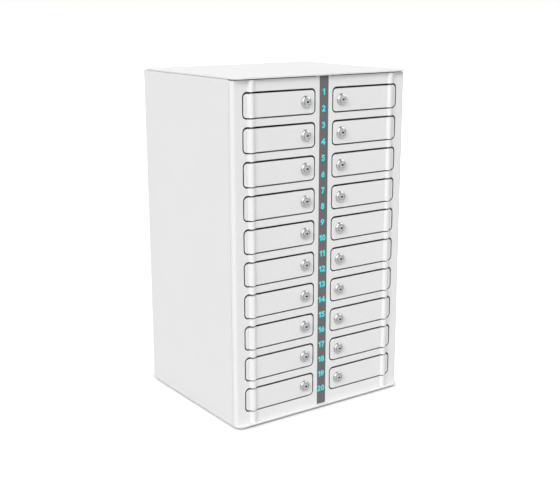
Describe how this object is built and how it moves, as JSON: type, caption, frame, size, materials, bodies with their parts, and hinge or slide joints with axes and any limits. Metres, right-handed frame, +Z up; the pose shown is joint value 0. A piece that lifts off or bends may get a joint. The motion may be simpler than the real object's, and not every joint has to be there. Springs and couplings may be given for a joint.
{
  "type": "phone locker",
  "caption": "Upright steel locker box with two columns of small hinged doors, a cam lock on each, a numbered centre strip and a flat overhanging cover.",
  "frame": {"origin": "on the floor under the feet, midway between the two sides and midway between the lock heads and the back", "axes": "+Z up, -Y out of the doors, +X to the right as seen from in front of the doors"},
  "size_m": [0.391, 0.3264, 0.6413],
  "materials": {
    "white_steel": "satin powder coat",
    "bright_steel": "drawn",
    "chrome": "polished",
    "grey_strip": "matte",
    "black_rubber": "matte"
  },
  "bodies": {
    "cabinet": {"base_plate": "white_steel", "top_cover": "white_steel", "rubber_feet": "black_rubber", "back_panel": "white_steel", "number_strip": "grey_strip", "centre_post": "white_steel", "centre_divider": "white_steel", "front_frame_left": "white_steel", "side_panel_left": "white_steel", "shelves_left": "white_steel", "hinge_rod_left": "bright_steel", "rod_keepers_left": "bright_steel", "front_frame_right": "white_steel", "side_panel_right": "white_steel", "shelves_right": "white_steel", "hinge_rod_right": "bright_steel", "rod_keepers_right": "bright_steel"},
    "door_01": {"door_01": "white_steel"},
    "lock_01": {"lock_01": "chrome"},
    "door_02": {"door_02": "white_steel"},
    "lock_02": {"lock_02": "chrome"},
    "door_03": {"door_03": "white_steel"},
    "lock_03": {"lock_03": "chrome"},
    "door_04": {"door_04": "white_steel"},
    "lock_04": {"lock_04": "chrome"},
    "door_05": {"door_05": "white_steel"},
    "lock_05": {"lock_05": "chrome"},
    "door_06": {"door_06": "white_steel"},
    "lock_06": {"lock_06": "chrome"},
    "door_07": {"door_07": "white_steel"},
    "lock_07": {"lock_07": "chrome"},
    "door_08": {"door_08": "white_steel"},
    "lock_08": {"lock_08": "chrome"},
    "door_09": {"door_09": "white_steel"},
    "lock_09": {"lock_09": "chrome"},
    "door_10": {"door_10": "white_steel"},
    "lock_10": {"lock_10": "chrome"},
    "door_11": {"door_11": "white_steel"},
    "lock_11": {"lock_11": "chrome"},
    "door_12": {"door_12": "white_steel"},
    "lock_12": {"lock_12": "chrome"},
    "door_13": {"door_13": "white_steel"},
    "lock_13": {"lock_13": "chrome"},
    "door_14": {"door_14": "white_steel"},
    "lock_14": {"lock_14": "chrome"},
    "door_15": {"door_15": "white_steel"},
    "lock_15": {"lock_15": "chrome"},
    "door_16": {"door_16": "white_steel"},
    "lock_16": {"lock_16": "chrome"},
    "door_17": {"door_17": "white_steel"},
    "lock_17": {"lock_17": "chrome"},
    "door_18": {"door_18": "white_steel"},
    "lock_18": {"lock_18": "chrome"},
    "door_19": {"door_19": "white_steel"},
    "lock_19": {"lock_19": "chrome"},
    "door_20": {"door_20": "white_steel"},
    "lock_20": {"lock_20": "chrome"}
  },
  "joints": [
    {"name": "door_01_hinge", "type": "hinge", "parent": "cabinet", "child": "door_01", "pos_m": [-0.157, -0.15455, 0.5927], "axis": [0, 0, -1], "range_deg": [0, 105]},
    {"name": "lock_01_turn", "type": "hinge", "parent": "door_01", "child": "lock_01", "pos_m": [-0.0404, -0.15675, 0.5927], "axis": [0, 1, 0], "range_deg": [0, 90]},
    {"name": "door_02_hinge", "type": "hinge", "parent": "cabinet", "child": "door_02", "pos_m": [0.157, -0.15455, 0.5927], "axis": [0, 0, 1], "range_deg": [0, 105]},
    {"name": "lock_02_turn", "type": "hinge", "parent": "door_02", "child": "lock_02", "pos_m": [0.0404, -0.15675, 0.5927], "axis": [0, -1, 0], "range_deg": [0, 90]},
    {"name": "door_03_hinge", "type": "hinge", "parent": "cabinet", "child": "door_03", "pos_m": [-0.157, -0.15455, 0.5327], "axis": [0, 0, -1], "range_deg": [0, 105]},
    {"name": "lock_03_turn", "type": "hinge", "parent": "door_03", "child": "lock_03", "pos_m": [-0.0404, -0.15675, 0.5327], "axis": [0, 1, 0], "range_deg": [0, 90]},
    {"name": "door_04_hinge", "type": "hinge", "parent": "cabinet", "child": "door_04", "pos_m": [0.157, -0.15455, 0.5327], "axis": [0, 0, 1], "range_deg": [0, 105]},
    {"name": "lock_04_turn", "type": "hinge", "parent": "door_04", "child": "lock_04", "pos_m": [0.0404, -0.15675, 0.5327], "axis": [0, -1, 0], "range_deg": [0, 90]},
    {"name": "door_05_hinge", "type": "hinge", "parent": "cabinet", "child": "door_05", "pos_m": [-0.157, -0.15455, 0.4727], "axis": [0, 0, -1], "range_deg": [0, 105]},
    {"name": "lock_05_turn", "type": "hinge", "parent": "door_05", "child": "lock_05", "pos_m": [-0.0404, -0.15675, 0.4727], "axis": [0, 1, 0], "range_deg": [0, 90]},
    {"name": "door_06_hinge", "type": "hinge", "parent": "cabinet", "child": "door_06", "pos_m": [0.157, -0.15455, 0.4727], "axis": [0, 0, 1], "range_deg": [0, 105]},
    {"name": "lock_06_turn", "type": "hinge", "parent": "door_06", "child": "lock_06", "pos_m": [0.0404, -0.15675, 0.4727], "axis": [0, -1, 0], "range_deg": [0, 90]},
    {"name": "door_07_hinge", "type": "hinge", "parent": "cabinet", "child": "door_07", "pos_m": [-0.157, -0.15455, 0.4127], "axis": [0, 0, -1], "range_deg": [0, 105]},
    {"name": "lock_07_turn", "type": "hinge", "parent": "door_07", "child": "lock_07", "pos_m": [-0.0404, -0.15675, 0.4127], "axis": [0, 1, 0], "range_deg": [0, 90]},
    {"name": "door_08_hinge", "type": "hinge", "parent": "cabinet", "child": "door_08", "pos_m": [0.157, -0.15455, 0.4127], "axis": [0, 0, 1], "range_deg": [0, 105]},
    {"name": "lock_08_turn", "type": "hinge", "parent": "door_08", "child": "lock_08", "pos_m": [0.0404, -0.15675, 0.4127], "axis": [0, -1, 0], "range_deg": [0, 90]},
    {"name": "door_09_hinge", "type": "hinge", "parent": "cabinet", "child": "door_09", "pos_m": [-0.157, -0.15455, 0.3527], "axis": [0, 0, -1], "range_deg": [0, 105]},
    {"name": "lock_09_turn", "type": "hinge", "parent": "door_09", "child": "lock_09", "pos_m": [-0.0404, -0.15675, 0.3527], "axis": [0, 1, 0], "range_deg": [0, 90]},
    {"name": "door_10_hinge", "type": "hinge", "parent": "cabinet", "child": "door_10", "pos_m": [0.157, -0.15455, 0.3527], "axis": [0, 0, 1], "range_deg": [0, 105]},
    {"name": "lock_10_turn", "type": "hinge", "parent": "door_10", "child": "lock_10", "pos_m": [0.0404, -0.15675, 0.3527], "axis": [0, -1, 0], "range_deg": [0, 90]},
    {"name": "door_11_hinge", "type": "hinge", "parent": "cabinet", "child": "door_11", "pos_m": [-0.157, -0.15455, 0.2927], "axis": [0, 0, -1], "range_deg": [0, 105]},
    {"name": "lock_11_turn", "type": "hinge", "parent": "door_11", "child": "lock_11", "pos_m": [-0.0404, -0.15675, 0.2927], "axis": [0, 1, 0], "range_deg": [0, 90]},
    {"name": "door_12_hinge", "type": "hinge", "parent": "cabinet", "child": "door_12", "pos_m": [0.157, -0.15455, 0.2927], "axis": [0, 0, 1], "range_deg": [0, 105]},
    {"name": "lock_12_turn", "type": "hinge", "parent": "door_12", "child": "lock_12", "pos_m": [0.0404, -0.15675, 0.2927], "axis": [0, -1, 0], "range_deg": [0, 90]},
    {"name": "door_13_hinge", "type": "hinge", "parent": "cabinet", "child": "door_13", "pos_m": [-0.157, -0.15455, 0.2327], "axis": [0, 0, -1], "range_deg": [0, 105]},
    {"name": "lock_13_turn", "type": "hinge", "parent": "door_13", "child": "lock_13", "pos_m": [-0.0404, -0.15675, 0.2327], "axis": [0, 1, 0], "range_deg": [0, 90]},
    {"name": "door_14_hinge", "type": "hinge", "parent": "cabinet", "child": "door_14", "pos_m": [0.157, -0.15455, 0.2327], "axis": [0, 0, 1], "range_deg": [0, 105]},
    {"name": "lock_14_turn", "type": "hinge", "parent": "door_14", "child": "lock_14", "pos_m": [0.0404, -0.15675, 0.2327], "axis": [0, -1, 0], "range_deg": [0, 90]},
    {"name": "door_15_hinge", "type": "hinge", "parent": "cabinet", "child": "door_15", "pos_m": [-0.157, -0.15455, 0.1727], "axis": [0, 0, -1], "range_deg": [0, 105]},
    {"name": "lock_15_turn", "type": "hinge", "parent": "door_15", "child": "lock_15", "pos_m": [-0.0404, -0.15675, 0.1727], "axis": [0, 1, 0], "range_deg": [0, 90]},
    {"name": "door_16_hinge", "type": "hinge", "parent": "cabinet", "child": "door_16", "pos_m": [0.157, -0.15455, 0.1727], "axis": [0, 0, 1], "range_deg": [0, 105]},
    {"name": "lock_16_turn", "type": "hinge", "parent": "door_16", "child": "lock_16", "pos_m": [0.0404, -0.15675, 0.1727], "axis": [0, -1, 0], "range_deg": [0, 90]},
    {"name": "door_17_hinge", "type": "hinge", "parent": "cabinet", "child": "door_17", "pos_m": [-0.157, -0.15455, 0.1127], "axis": [0, 0, -1], "range_deg": [0, 105]},
    {"name": "lock_17_turn", "type": "hinge", "parent": "door_17", "child": "lock_17", "pos_m": [-0.0404, -0.15675, 0.1127], "axis": [0, 1, 0], "range_deg": [0, 90]},
    {"name": "door_18_hinge", "type": "hinge", "parent": "cabinet", "child": "door_18", "pos_m": [0.157, -0.15455, 0.1127], "axis": [0, 0, 1], "range_deg": [0, 105]},
    {"name": "lock_18_turn", "type": "hinge", "parent": "door_18", "child": "lock_18", "pos_m": [0.0404, -0.15675, 0.1127], "axis": [0, -1, 0], "range_deg": [0, 90]},
    {"name": "door_19_hinge", "type": "hinge", "parent": "cabinet", "child": "door_19", "pos_m": [-0.157, -0.15455, 0.0527], "axis": [0, 0, -1], "range_deg": [0, 105]},
    {"name": "lock_19_turn", "type": "hinge", "parent": "door_19", "child": "lock_19", "pos_m": [-0.0404, -0.15675, 0.0527], "axis": [0, 1, 0], "range_deg": [0, 90]},
    {"name": "door_20_hinge", "type": "hinge", "parent": "cabinet", "child": "door_20", "pos_m": [0.157, -0.15455, 0.0527], "axis": [0, 0, 1], "range_deg": [0, 105]},
    {"name": "lock_20_turn", "type": "hinge", "parent": "door_20", "child": "lock_20", "pos_m": [0.0404, -0.15675, 0.0527], "axis": [0, -1, 0], "range_deg": [0, 90]}
  ]
}
